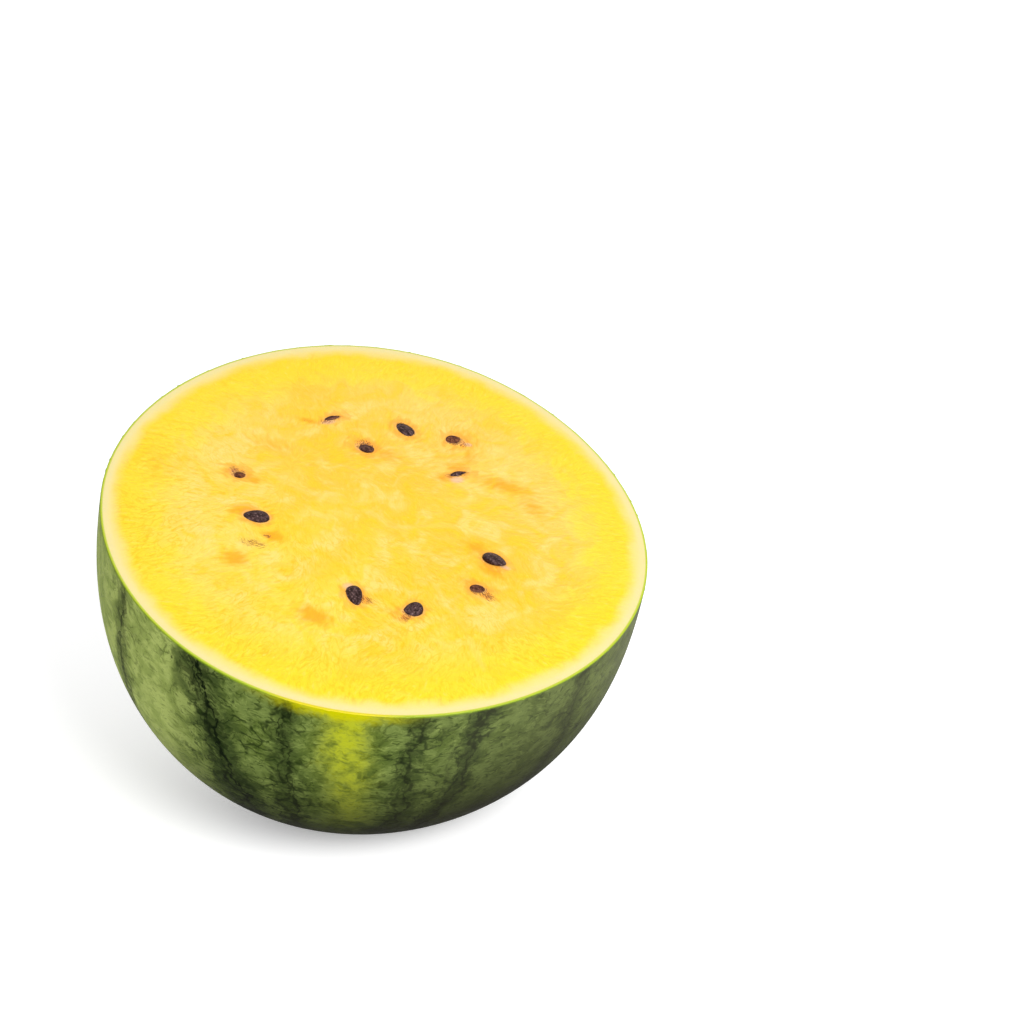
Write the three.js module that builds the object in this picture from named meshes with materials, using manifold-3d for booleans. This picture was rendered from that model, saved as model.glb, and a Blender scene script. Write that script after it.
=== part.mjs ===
// Half of a round, yellow-fleshed watermelon, cut across its middle and lying on its rind, with its seeds.
//
// Millimetres, +Z up. The half is drawn in the fruit's own frame first: Z runs from the blossom end up to the
// cut face, and z = 0 is the widest girth. It is then leaned over into the pose that it rests in. The origin is
// in the middle of the small flat spot that it rests on.
import * as THREE from "three";
import { mergeVertices } from "three/addons/utils/BufferGeometryUtils.js";
import Module from "manifold-3d";

const wasm = await Module();
wasm.setup();

// ---- Driving dimensions: millimetres and degrees ----

// The fruit
const EQUATOR_RADIUS = 110.7; // at the widest girth
const POLE_REACH = 121.4; // from the widest girth down to the blossom end
const CUT_HEIGHT = 12; // from the widest girth up to the cut face
const PROFILE_POWER = 2.3; // 2 would be an ellipse, and more gives fuller shoulders

// The girth isn't a true circle. Each row is a swelling that comes round so many times.
const SWELLINGS = [
  { times: 2, height: 0.5, bearing: 2 },
  { times: 3, height: 0.9, bearing: -16 },
  { times: 4, height: 0.5, bearing: -9 },
];

// How the half rests
const LEAN = 22.1; // of the cut face from level
const LEAN_BEARING = -63.4; // the side that the cut face looks towards, turning from +X
const FLAT_DEPTH = 3; // rind that the flat spot takes off

// A seed: flat, with a round end and a pointed one
const SEED_LENGTH = 10.4;
const SEED_WIDTH = 6.8;
const SEED_THICKNESS = 2.6;
const SEED_FULLNESS = 0.15; // how far the widest place lies towards the round end, as a share of half the length
const POCKET_GAP = 0.35; // between a seed and the flesh around it

// The seeds that the cut lays open, going round from +X.
//   reach    distance from the fruit's axis, as a share of the cut face's radius
//   bearing  direction from the axis
//   turn     direction that the pointed end looks in, on the cut face
//   roll     about the seed's long axis: 0 lies flat on the face, 90 stands on edge
//   dip      of the pointed end into the flesh
//   proud    height of the seed's highest place above the cut face
const SEEDS = [
  { reach: 0.423, bearing: 45.6, turn: 30, roll: 50, dip: 0, proud: 0.7 },
  { reach: 0.567, bearing: 60.9, turn: -12, roll: 10, dip: 14, proud: 0.7 },
  { reach: 0.528, bearing: 82.2, turn: 137, roll: 0, dip: 0, proud: 0.52 },
  { reach: 0.399, bearing: 101.5, turn: 150, roll: 10, dip: 12, proud: 0.5 },
  { reach: 0.556, bearing: 111.1, turn: 32, roll: 50, dip: 0, proud: 0.5 },
  { reach: 0.555, bearing: 165.2, turn: 142, roll: 10, dip: 16, proud: 0.3 },
  { reach: 0.444, bearing: 191.7, turn: 179, roll: -6, dip: 0, proud: 1.3 },
  { reach: 0.429, bearing: 263.2, turn: -70, roll: 18, dip: 0, proud: 1.6 },
  { reach: 0.491, bearing: 288.7, turn: 226, roll: -8, dip: 20, proud: 1.8 },
  { reach: 0.509, bearing: 321.9, turn: -22, roll: 12, dip: 12, proud: 0.5 },
  { reach: 0.464, bearing: 342.5, turn: -27, roll: -6, dip: -4, proud: 1.8 },
];

// How finely the shapes are faceted
const FRUIT_SIDES = 72;
const FRUIT_RINGS = 26;
const SEED_SIDES = 12;
const SEED_RINGS = 10;

// ---- Solids ----

const radians = THREE.MathUtils.degToRad;

// A closed geometry as a solid that can be cut.
function solidFrom(geometry) {
  const closed = mergeVertices(new THREE.BufferGeometry()
    .setIndex(geometry.index)
    .setAttribute("position", geometry.getAttribute("position")));
  return new wasm.Manifold(new wasm.Mesh({
    numProp: 3,
    vertProperties: closed.getAttribute("position").array,
    triVerts: new Uint32Array(closed.index.array),
  }));
}

// A solid as a geometry again.
function geometryFrom(solid) {
  const { vertProperties, triVerts } = solid.getMesh();
  return new THREE.BufferGeometry()
    .setAttribute("position", new THREE.BufferAttribute(vertProperties, 3))
    .setIndex(new THREE.BufferAttribute(triVerts, 1));
}

// ---- The fruit's form ----

// Radius of the fruit at a height above its widest girth, from |r/a|^p + |z/c|^p = 1.
function radiusAt(height) {
  return EQUATOR_RADIUS * (1 - Math.abs(height / POLE_REACH) ** PROFILE_POWER) ** (1 / PROFILE_POWER);
}

// Outline of the half: up the rind from the blossom end to the cut, then in across the cut face.
function halfOutline() {
  const cutAngle = Math.asin((CUT_HEIGHT / POLE_REACH) ** (PROFILE_POWER / 2));
  const outline = [];
  for (let ring = 0; ring <= FRUIT_RINGS; ring++) {
    const angle = THREE.MathUtils.lerp(-Math.PI / 2, cutAngle, ring / FRUIT_RINGS);
    const height = Math.sign(angle) * POLE_REACH * Math.abs(Math.sin(angle)) ** (2 / PROFILE_POWER);
    outline.push(new THREE.Vector2(ring ? radiusAt(height) : 0, height));
  }
  outline.push(new THREE.Vector2(0, CUT_HEIGHT));
  return outline;
}

// The share by which the fruit is wider in one direction than a true circle.
function swellingAt(bearing) {
  return SWELLINGS.reduce(
    (sum, row) => sum + (row.height / EQUATOR_RADIUS) * Math.cos(row.times * (bearing - radians(row.bearing))),
    1,
  );
}

function halfGeometry() {
  const geometry = new THREE.LatheGeometry(halfOutline(), FRUIT_SIDES).rotateX(Math.PI / 2);
  const position = geometry.getAttribute("position");
  for (let i = 0; i < position.count; i++) {
    const swelling = swellingAt(Math.atan2(position.getY(i), position.getX(i)));
    position.setXY(i, position.getX(i) * swelling, position.getY(i) * swelling);
  }
  return geometry;
}

// ---- How it rests ----

// From the fruit's frame to the resting one. The rind's lowest place is where it faces straight down, and
// leaning a superellipse puts that place at a height and a distance from the axis that have plain formulas.
function restingPose() {
  const lean = radians(LEAN);
  const bearing = radians(LEAN_BEARING);
  const dual = PROFILE_POWER / (PROFILE_POWER - 1);
  const across = EQUATOR_RADIUS * Math.sin(lean);
  const along = POLE_REACH * Math.cos(lean);
  const drop = (across ** dual + along ** dual) ** (1 / dual);
  const lowestRadius = EQUATOR_RADIUS * (across / drop) ** (dual - 1);
  const lowestHeight = -POLE_REACH * (along / drop) ** (dual - 1);
  const forward = lowestRadius * Math.cos(lean) + lowestHeight * Math.sin(lean);

  const axis = new THREE.Vector3(-Math.sin(bearing), Math.cos(bearing), 0);
  return new THREE.Matrix4().makeRotationAxis(axis, lean).setPosition(
    -forward * Math.cos(bearing),
    -forward * Math.sin(bearing),
    drop - FLAT_DEPTH,
  );
}

// The surface it stands on, as a block that is larger than the fruit and whose top is z = 0.
function groundGeometry() {
  const side = 4 * (EQUATOR_RADIUS + POLE_REACH);
  return new THREE.BoxGeometry(side, side, side).translate(0, 0, -side / 2);
}

// ---- Seeds ----

// A seed lying flat, pointed end to +X, grown by a margin all round.
function seedGeometry(margin) {
  const halfLength = SEED_LENGTH / 2 + margin;
  const halfWidth = SEED_WIDTH / 2 + margin;
  const halfThickness = SEED_THICKNESS / 2 + margin;
  const geometry = new THREE.SphereGeometry(1, SEED_SIDES, SEED_RINGS);
  const position = geometry.getAttribute("position");
  for (let i = 0; i < position.count; i++) {
    const along = position.getY(i);
    position.setXYZ(
      i,
      halfLength * (along - SEED_FULLNESS * (1 - along ** 2)),
      halfWidth * position.getZ(i),
      halfThickness * position.getX(i),
    );
  }
  return geometry;
}

// Where a seed sits in the fruit: turned, dipped and rolled, and as deep as leaves its highest place proud.
function seedSeat({ reach, bearing, turn, roll, dip, proud }) {
  const distance = reach * radiusAt(CUT_HEIGHT);
  const attitude = new THREE.Euler(radians(roll), radians(dip), radians(turn), "ZYX");
  const seat = new THREE.Matrix4().makeRotationFromEuler(attitude);
  const turned = seedGeometry(0).applyMatrix4(seat);
  turned.computeBoundingBox();
  return seat.setPosition(
    distance * Math.cos(radians(bearing)),
    distance * Math.sin(radians(bearing)),
    CUT_HEIGHT + proud - turned.boundingBox.max.z,
  );
}

// ---- Sub-parts ----

// Rind and flesh are one grown piece: open pockets for the seeds in its cut face, flattened where it stands.
function melonHalf(pose, seats) {
  let fruit = solidFrom(halfGeometry());
  for (const seat of seats) {
    fruit = fruit.subtract(solidFrom(seedGeometry(POCKET_GAP).applyMatrix4(seat)));
  }
  const resting = solidFrom(geometryFrom(fruit).applyMatrix4(pose));
  const geometry = geometryFrom(resting.subtract(solidFrom(groundGeometry())));
  const material = new THREE.MeshStandardMaterial({ color: 0x5c7a3c, roughness: 0.45, metalness: 0 });
  const mesh = new THREE.Mesh(geometry, material);
  mesh.name = "melon_half";
  return mesh;
}

function seed(number, seat) {
  const material = new THREE.MeshStandardMaterial({ color: 0x2b1c18, roughness: 0.4, metalness: 0 });
  const mesh = new THREE.Mesh(seedGeometry(0), material);
  mesh.name = `seed_${String(number).padStart(2, "0")}`;
  mesh.applyMatrix4(seat);
  return mesh;
}

// ---- Assembly ----

const pose = restingPose();
const seats = SEEDS.map(seedSeat);

const seeds = new THREE.Group();
seeds.applyMatrix4(pose);
seats.forEach((seat, index) => seeds.add(seed(index + 1, seat)));

const watermelon = new THREE.Group();
watermelon.add(melonHalf(pose, seats), seeds);

export default watermelon;
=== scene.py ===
# %% [markdown]
# # Half a watermelon with yellow flesh
# A round watermelon has been cut across its middle, and one half lies on its rind with the cut face looking up
# towards us. Eleven seeds show in the flesh. The CAD model holds the sizes: one plain solid for the half and one
# for each seed. This script loads that model as a fixed frame and makes the fine surface around it.
# Everything is in metres, +Z up, and the half stands on z = 0.

# %% Load the CAD frame
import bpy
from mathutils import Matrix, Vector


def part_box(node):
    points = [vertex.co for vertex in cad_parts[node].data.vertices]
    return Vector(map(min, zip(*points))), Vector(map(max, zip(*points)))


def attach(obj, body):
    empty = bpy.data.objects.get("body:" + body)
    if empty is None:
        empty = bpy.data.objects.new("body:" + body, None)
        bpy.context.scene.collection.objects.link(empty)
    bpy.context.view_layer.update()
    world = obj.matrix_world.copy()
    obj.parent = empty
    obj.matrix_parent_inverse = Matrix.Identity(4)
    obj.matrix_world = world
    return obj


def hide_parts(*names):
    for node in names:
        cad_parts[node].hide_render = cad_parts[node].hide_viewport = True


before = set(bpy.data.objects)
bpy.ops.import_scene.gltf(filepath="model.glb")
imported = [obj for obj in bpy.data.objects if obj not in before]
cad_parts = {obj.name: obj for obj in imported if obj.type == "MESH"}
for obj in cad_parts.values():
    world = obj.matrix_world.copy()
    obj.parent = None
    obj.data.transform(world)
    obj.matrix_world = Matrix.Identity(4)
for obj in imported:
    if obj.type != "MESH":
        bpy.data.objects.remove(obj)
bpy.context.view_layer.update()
print("CAD nodes:", ", ".join(sorted(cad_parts)))

# %% Tools
from math import asin, cos, pi, radians, sin

import bmesh
import bpy
import numpy as np
from mathutils import Matrix, Vector, noise

MM = 0.001

# %% [markdown]
# ## The fruit's form
# A watermelon is nearly a ball drawn out along its axis. Its outline is a superellipse, |r/a|^p + |z/c|^p = 1,
# and a power a little over 2 gives the fuller shoulders that a real one has. The girth isn't a true circle
# either, so three low swellings go round it. These are the sizes that the CAD model was made with: the solid
# there is faceted, and the same formulas give as many smooth points as are wanted here.

# %% The fruit's sizes
EQUATOR_RADIUS = 110.7 * MM
POLE_REACH = 121.4 * MM
CUT_HEIGHT = 12 * MM
PROFILE_POWER = 2.3
SWELLINGS = ((2, 0.5 * MM, 2), (3, 0.9 * MM, -16), (4, 0.5 * MM, -9))  # times round, height, bearing


def radius_at(height):
    """Radius of the fruit at a height above its widest girth."""
    return EQUATOR_RADIUS * (1 - np.abs(height / POLE_REACH) ** PROFILE_POWER) ** (1 / PROFILE_POWER)


def swelling_at(bearing):
    """Share by which the fruit is wider in one direction than a true circle."""
    return 1 + sum(h / EQUATOR_RADIUS * np.cos(n * (bearing - radians(b))) for n, h, b in SWELLINGS)


CUT_RADIUS = float(radius_at(CUT_HEIGHT))
print(f"the cut face is {2 * CUT_RADIUS / MM:.1f} mm across")

# %% [markdown]
# ## How it lies
# The half is built upright in the fruit's own frame, with Z along its axis, because rings, stripes and seeds are
# all simple there. One matrix later leans it into the pose that it rests in. A rind that leans on a table touches
# it where the rind faces straight down, and a superellipse has a formula for that place too.

# %% The resting pose
LEAN = radians(22.1)
LEAN_BEARING = radians(-63.4)
FLAT_DEPTH = 3 * MM


def resting_pose():
    """Matrix from the fruit's frame to the frame that it rests in."""
    dual = PROFILE_POWER / (PROFILE_POWER - 1)
    across = EQUATOR_RADIUS * sin(LEAN)
    along = POLE_REACH * cos(LEAN)
    drop = (across ** dual + along ** dual) ** (1 / dual)
    lowest_radius = EQUATOR_RADIUS * (across / drop) ** (dual - 1)
    lowest_height = -POLE_REACH * (along / drop) ** (dual - 1)
    forward = lowest_radius * cos(LEAN) + lowest_height * sin(LEAN)
    towards = Vector((cos(LEAN_BEARING), sin(LEAN_BEARING), 0))
    axis = Vector((-sin(LEAN_BEARING), cos(LEAN_BEARING), 0))
    middle = -forward * towards + Vector((0, 0, drop - FLAT_DEPTH))
    return Matrix.Translation(middle) @ Matrix.Rotation(LEAN, 4, axis)


POSE = resting_pose()
UNPOSE = POSE.inverted()
low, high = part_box("melon_half")
print(f"the fruit's middle is {POSE.translation.z / MM:.1f} mm up")
print(f"the CAD half is {(high.z - low.z) / MM:.1f} mm high")

# %% [markdown]
# ## Where the seeds sit
# Each seed is a solid in the CAD model, at its own slant. Copying a list of angles would be one way to place the
# fine seeds. Measuring the CAD seeds is safer, because they can't drift apart: the three principal axes of a
# solid's points are its length, width and thickness, and its round end is the one that the points crowd to.

# %% Measure the CAD seeds


def seat_of(node):
    """Matrix and half sizes of a CAD seed: x to its pointed end, z through its thickness, away from the rind."""
    points = np.array([UNPOSE @ v.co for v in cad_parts[node].data.vertices])
    middle = points.mean(0)
    axes = np.linalg.eigh(np.cov((points - middle).T))[1].T[::-1]
    lows = np.array([(points @ a).min() for a in axes])
    highs = np.array([(points @ a).max() for a in axes])
    long, wide, thin = axes
    if middle @ long > (lows[0] + highs[0]) / 2:
        long = -long
    if thin[2] < 0:
        thin = -thin
    centre = sum(a * (l + h) / 2 for a, l, h in zip(axes, lows, highs))
    seat = Matrix(np.column_stack([long, np.cross(thin, long), thin])).to_4x4()
    return Matrix.Translation(Vector(centre)) @ seat, (highs - lows) / 2


SEEDS = sorted(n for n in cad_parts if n.startswith("seed_"))
SEATS = {name: seat_of(name) for name in SEEDS}
for name, (seat, halves) in SEATS.items():
    print(name, "length, width, thickness in mm:", np.round(2 * halves / MM, 1))

# %% [markdown]
# ## The skin of the half
# A disc can be made as rings of a pie, but then its cells shrink to nothing in the middle. Here a square grid is
# bent into a disc instead, so every cell of the flesh is about the same size. A second, coarser one is bent into
# the bowl of the rind. Both have their edge points at even steps round, so rows of points join them, and one row
# steps down from the fine count to the coarse one.

# %% A square grid bent into a disc


def disc_grid(cells):
    """Reach (0 to 1) and bearing of each point, the quads, and the edge loop going round from -45 degrees."""
    steps = np.linspace(-1, 1, cells + 1)
    u, v = np.meshgrid(steps, steps, indexing="ij")
    wide = np.abs(u) >= np.abs(v)
    reach = np.where(wide, u, v)
    slope = np.divide(np.where(wide, v, u), reach, out=np.zeros_like(u), where=reach != 0)
    bearing = np.where(wide, slope, 2 - slope) * pi / 4 + pi * (reach < 0)
    index = np.arange((cells + 1) ** 2).reshape(cells + 1, cells + 1)
    quads = np.stack([index[:-1, :-1], index[1:, :-1], index[1:, 1:], index[:-1, 1:]], -1).reshape(-1, 4)
    loop = np.concatenate([index[-1, :-1], index[:0:-1, -1], index[0, :0:-1], index[:-1, 0]])
    return np.abs(reach).ravel(), bearing.ravel(), quads, loop


# %% Points of the cut face and the rind
FACE_CELLS = 240
BOWL_CELLS = 120
EDGE_ROUND = 0.45 * MM  # the knife leaves no sharper edge on a rind
EDGE_ROWS = 5
BOWL_TOP = 3 * MM  # the bowl's grid starts this far below the cut
ARC_STEPS = 600  # for measuring along the curve of the rind


def ring(bearing, radius, height):
    """Points of the fruit at these bearings, radii and heights, swellings included."""
    wide = radius * swelling_at(bearing)
    return np.stack([wide * np.cos(bearing), wide * np.sin(bearing), np.broadcast_to(height, wide.shape)], -1)


def bowl_place(share):
    """Radius and height on the rind, from the blossom end (0) to the bowl's top (1), in even steps of arc."""
    top_angle = asin(((CUT_HEIGHT - BOWL_TOP) / POLE_REACH) ** (PROFILE_POWER / 2))
    angle = np.linspace(-pi / 2, top_angle, ARC_STEPS)
    height = np.sign(angle) * POLE_REACH * np.abs(np.sin(angle)) ** (2 / PROFILE_POWER)
    radius = np.append(0, radius_at(height[1:]))
    arc = np.append(0, np.cumsum(np.hypot(np.diff(radius), np.diff(height))))
    return np.interp(share * arc[-1], arc, radius), np.interp(share * arc[-1], arc, height)


face_reach, face_bearing, face_quads, face_loop = disc_grid(FACE_CELLS)
bowl_reach, bowl_bearing, bowl_quads, bowl_loop = disc_grid(BOWL_CELLS)
face_points = ring(face_bearing, face_reach * (CUT_RADIUS - EDGE_ROUND), CUT_HEIGHT)
bowl_points = ring(bowl_bearing, *bowl_place(bowl_reach))
edge_bearing = face_bearing[face_loop]
print(f"{len(face_points)} points in the cut face and {len(bowl_points)} in the bowl")

# %% Noise


def noise_at(points, size, seed=0.0):
    """Smooth noise from -1 to 1, with lumps of about this size, at each point."""
    shift = Vector((seed, 1.7 * seed, -0.6 * seed))
    return np.array([noise.noise(Vector(p) / size + shift) for p in points])


# %% Rows of points round the edge
NUB_HEIGHT = 1.5 * MM  # of the rough skin that the knife left standing
NUB_WIDTH = 2.2 * MM
NUB_FADE = 1.2 * MM  # depth below the cut where the rind is smooth again
EDGE_WAVE = 0.1 * MM
EDGE_WAVE_LENGTH = 5 * MM
ROWS_BELOW_EDGE = 3


def roughened(row):
    """Moves a row of the edge in and out, as a torn skin is, more the nearer it is to the cut."""
    share = np.clip(1 - (CUT_HEIGHT - row[:, 2]) / NUB_FADE, 0, 1)
    wave = EDGE_WAVE * noise_at(row, EDGE_WAVE_LENGTH, 41.0)
    nubs = NUB_HEIGHT * np.clip(noise_at(row * (1, 1, 0), NUB_WIDTH, 43.0) - 0.35, 0, 1)
    outward = row[:, :2] / np.linalg.norm(row[:, :2], axis=1, keepdims=True)
    row[:, :2] += outward * (share * (wave + nubs))[:, None]
    return row


def edge_rows():
    """Rows of points round the rounded edge, then down the rind to just above the bowl."""
    rows = []
    for turn in np.linspace(0, pi / 2, EDGE_ROWS)[1:]:
        rows.append(ring(edge_bearing, radius_at(CUT_HEIGHT) - EDGE_ROUND * (1 - sin(turn)),
                         CUT_HEIGHT - EDGE_ROUND * (1 - cos(turn))))
    for depth in np.linspace(EDGE_ROUND, BOWL_TOP, ROWS_BELOW_EDGE + 2)[1:-1]:
        rows.append(ring(edge_bearing, radius_at(CUT_HEIGHT - depth), CUT_HEIGHT - depth))
    return [roughened(row) for row in rows]


# %% Join them into one closed skin


def closed_skin():
    """Points and faces of the whole half: cut face, edge, and rind, with no seam left open."""
    rows = edge_rows()
    points = np.concatenate([face_points, *rows, bowl_points])
    around = len(face_loop)
    first = len(face_points)
    loops = [face_loop] + [np.arange(around) + first + k * around for k in range(len(rows))]
    base = first + len(rows) * around
    faces = [*face_quads.tolist(), *(bowl_quads[:, ::-1] + base).tolist()]
    for upper, lower in zip(loops, loops[1:]):
        faces += np.stack([upper, lower, np.roll(lower, -1), np.roll(upper, -1)], -1).tolist()
    last, bowl = loops[-1], bowl_loop + base
    step = around // len(bowl)
    for k in range(len(bowl)):
        fine = [last[(step * k + i) % around] for i in range(step + 1)]
        faces.append([fine[0], bowl[k], bowl[(k + 1) % len(bowl)], *fine[:0:-1]])
    return points, faces


skin_points, skin_faces = closed_skin()
print(f"the skin has {len(skin_points)} points and {len(skin_faces)} faces")

# %% [markdown]
# ## The feel of the cut
# A knife leaves a melon's face nearly flat. The blade wanders a little, and the flesh, made of large wet cells in
# strings, stands up in small grains. Both are moves along the fruit's axis, so they are added to the points. The
# fibres run out from the middle to the rind, and curl round a few places where a cluster of seeds grew. The same
# direction is kept for the material later, so that its strokes lie along the relief.

# %% Which way the fibres run
WHORLS = (  # x, y and size of each curl, in mm on the cut face, and how strongly it turns the fibres
    (69, -30, 20, 2.2),
    (12, -67, 17, -2.0),
    (-66, -14, 19, 1.8),
    (8, -2, 16, 1.4),
    (38, 72, 20, -1.2),
    (-40, 62, 18, 1.0),
)
MIDDLE_GRAIN = radians(-32)  # in the middle, where they have no way out, they lie across
ALL_ACROSS = 15  # mm from the middle: they all lie across up to here
ALL_OUTWARD = 70  # mm from the middle: they all run outward from here on


def fibre_direction(x, y, drift):
    """Unit vectors on the cut face, from distances in mm and the angle that the fibres drift by."""
    reach = np.hypot(x, y) + 1e-6
    outward = np.clip((reach - ALL_ACROSS) / (ALL_OUTWARD - ALL_ACROSS), 0, 1)
    dx = outward * x / reach + (1 - outward) * cos(MIDDLE_GRAIN)
    dy = outward * y / reach + (1 - outward) * sin(MIDDLE_GRAIN)
    for cx, cy, size, strength in WHORLS:
        ox, oy = x - cx, y - cy
        away = np.hypot(ox, oy)
        pull = strength * np.exp(-(away / size) ** 2) * away / size
        dx = dx - pull * oy / (away + 1)
        dy = dy + pull * ox / (away + 1)
    length = np.hypot(dx, dy) + 1e-6
    return ((dx * np.cos(drift) - dy * np.sin(drift)) / length,
            (dx * np.sin(drift) + dy * np.cos(drift)) / length)


# %% Relief of the cut face
RELIEF = (  # height and width in mm, and which noise: the blade's waves, lumps, grains of flesh
    (0.22, 45, 3.0), (0.10, 9, 7.0), (0.06, 2.6, 11.0),
)
FIRM_RIM = 9 * MM  # the relief dies away over this width, towards the firm rind


def cut_relief(points):
    """How far each point of the cut face stands above the plane of the cut."""
    relief = sum(height * MM * noise_at(points, width * MM, seed) for height, width, seed in RELIEF)
    inside = np.clip((CUT_RADIUS - np.hypot(points[:, 0], points[:, 1])) / FIRM_RIM, 0, 1)
    return relief * inside


face_count = len(face_points)
relief = cut_relief(skin_points[:face_count])
skin_points[:face_count, 2] += relief
print(f"relief from {relief.min() / MM:.2f} to {relief.max() / MM:.2f} mm")

# %% Make the mesh


def flatten_foot(points):
    """Presses the rind flat where it would reach below the table."""
    turn = np.array(POSE.to_3x3())
    shift = np.array(POSE.translation)
    posed = points @ turn.T + shift
    posed[:, 2] = np.maximum(posed[:, 2], 0)
    return (posed - shift) @ turn


mesh = bpy.data.meshes.new("melon_half_fine")
mesh.from_pydata(flatten_foot(skin_points).tolist(), [], skin_faces)
melon = bpy.data.objects.new("melon_half_fine", mesh)
bpy.context.scene.collection.objects.link(melon)
melon.matrix_world = POSE
bpy.context.view_layer.update()
print(f"{melon.name} has {len(mesh.polygons)} faces")

# %% [markdown]
# ## Seeds
# A watermelon seed is a flat drop: a round end, a blunt point, and a low rim round its edge. It starts as a ball
# of rings whose points are moved, with the same formula as the CAD seed, so that the fine seed fills the same
# space. The rim, a slimmer pointed end and a little unevenness are then added. Blender's own ball starts its
# faces at corners that differ from run to run, and so would the pockets. One written out here doesn't.

# %% A ball of rings


def ball(rings, sides):
    """Points and faces of a ball of radius 1 whose rings go round the x axis."""
    points = [(1.0, 0.0, 0.0)]
    for ring_angle in (pi * k / rings for k in range(1, rings)):
        for side_angle in (2 * pi * k / sides for k in range(sides)):
            round_x = sin(ring_angle)
            points.append((cos(ring_angle), round_x * sin(side_angle), round_x * cos(side_angle)))
    points.append((-1.0, 0.0, 0.0))
    last = len(points) - 1
    faces = []
    for side in range(sides):
        after = (side + 1) % sides
        faces.append((0, 1 + after, 1 + side))
        faces.append((last, last - sides + side, last - sides + after))
        for first in range(1, last - sides, sides):
            faces.append((first + side, first + after, first + sides + after, first + sides + side))
    return points, faces


# %% The shape of a seed
SEED_FULLNESS = 0.15  # how far the widest place lies towards the round end, as a share of half the length
SLIMMING = 0.2  # of the pointed end
RIM_HEIGHT = 0.12  # as a share of half the thickness, like the two below
RIM_PLACE = 0.86  # from the middle to the thin edge
RIM_WIDTH = 0.10
UNEVENNESS = 0.05


def own_number(name):
    """A number of its own for each seed, so that no two are rough in the same places."""
    return 3.7 * int(name[-2:])


def swell(name, along, across, up):
    """Share by which a seed is thicker at a place on it: its rim, and its unevenness."""
    edge = max(np.hypot(across, up), 1e-6)
    rim = RIM_HEIGHT * np.exp(-((abs(across) - RIM_PLACE * edge) / RIM_WIDTH) ** 2)
    place = Vector((along * 4 + own_number(name), across * 4, up * 2))
    return rim + UNEVENNESS * noise.noise(place)


def seed_mesh(name, halves, margin=0.0, rings=28, sides=44, detail=True):
    """A seed lying flat, pointed end to +x, grown by a margin all round."""
    long, wide, thick = (h + margin for h in halves)
    points, faces = ball(rings, sides)
    moved = []
    for along, across, up in points:
        slim = 1 - SLIMMING * max(0, along) ** 1.5 if detail else 1
        thicker = 1 + swell(name, along, across, up) if detail else 1
        moved.append((long * (along - SEED_FULLNESS * (1 - along ** 2)), wide * across * slim,
                      thick * up * slim * thicker))
    made = bpy.data.meshes.new(name)
    made.from_pydata(moved, [], faces)
    return made


# %% Place the fine seeds
UNRIPE = {"seed_02": 0.8, "seed_04": 0.3, "seed_05": 0.5, "seed_06": 1.0, "seed_10": 0.6}
NOISE_APART = 10  # mm: sets the seeds apart in the material's noise


def mark_seed(mesh, halves, unripe, shift):
    """Stores how near each point is to the seed's thin edge, how brown the seed has stayed, and its place."""
    long, wide, _ = halves
    outward = []
    for v in mesh.vertices:
        width_here = max(0.2, 1 - (v.co.x / long) ** 2) ** 0.5
        outward.append(min(1.0, abs(v.co.y) / wide / width_here))
    mesh.attributes.new("margin", "FLOAT", "POINT").data.foreach_set("value", outward)
    mesh.attributes.new("unripe", "FLOAT", "POINT").data.foreach_set("value", [unripe] * len(outward))
    place = [c / MM + shift for v in mesh.vertices for c in v.co]
    mesh.attributes.new("place", "FLOAT_VECTOR", "POINT").data.foreach_set("vector", place)


seeds = {}
for name, (seat, halves) in SEATS.items():
    seed = bpy.data.objects.new(f"fine_{name}", seed_mesh(f"fine_{name}", halves))
    bpy.context.scene.collection.objects.link(seed)
    seed.matrix_world = POSE @ seat
    mark_seed(seed.data, halves, UNRIPE.get(name, 0.0), NOISE_APART * own_number(name))
    seed.data.polygons.foreach_set("use_smooth", [True] * len(seed.data.polygons))
    seeds[name] = seed
print(f"{len(seeds)} seeds of {len(seed.data.polygons)} faces")

# %% [markdown]
# ## Pockets
# Each seed lies in a pocket that fits it closely, with a lip of flesh over what is buried. The pocket is the
# seed's own shape, grown by a hair, cut out of the flesh with a Boolean modifier. The skin's cells are nearly as
# wide as a seed is thick, so those around each seed are split first.

# %% Split the cells around the seeds
FINE_REACH = 7.5 * MM


def refine_near_seeds(mesh):
    """Splits each face of the cut face that lies close to a seed."""
    shape = bmesh.new()
    shape.from_mesh(mesh)
    places = [seat.translation for seat, halves in SEATS.values()]
    near = {f for f in shape.faces if f.calc_center_median().z > CUT_HEIGHT - MM
            and any((f.calc_center_median() - p).length < FINE_REACH for p in places)}
    edges = [e for e in shape.edges if any(f in near for f in e.link_faces)]
    bmesh.ops.subdivide_edges(shape, edges=edges, cuts=1, use_grid_fill=True)
    shape.to_mesh(mesh)
    shape.free()


refine_near_seeds(mesh)
print(f"{len(mesh.polygons)} faces after splitting")

# %% Cut the pockets
POCKET_GAP = 0.12 * MM


def cutter_of_all():
    """One mesh of all the pockets."""
    shape = bmesh.new()
    for name, (seat, halves) in SEATS.items():
        one = seed_mesh("pocket", halves, POCKET_GAP, 18, 28, detail=False)
        one.transform(seat)
        shape.from_mesh(one)
        bpy.data.meshes.remove(one)
    made = bpy.data.meshes.new("pockets")
    shape.to_mesh(made)
    shape.free()
    return made


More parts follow.
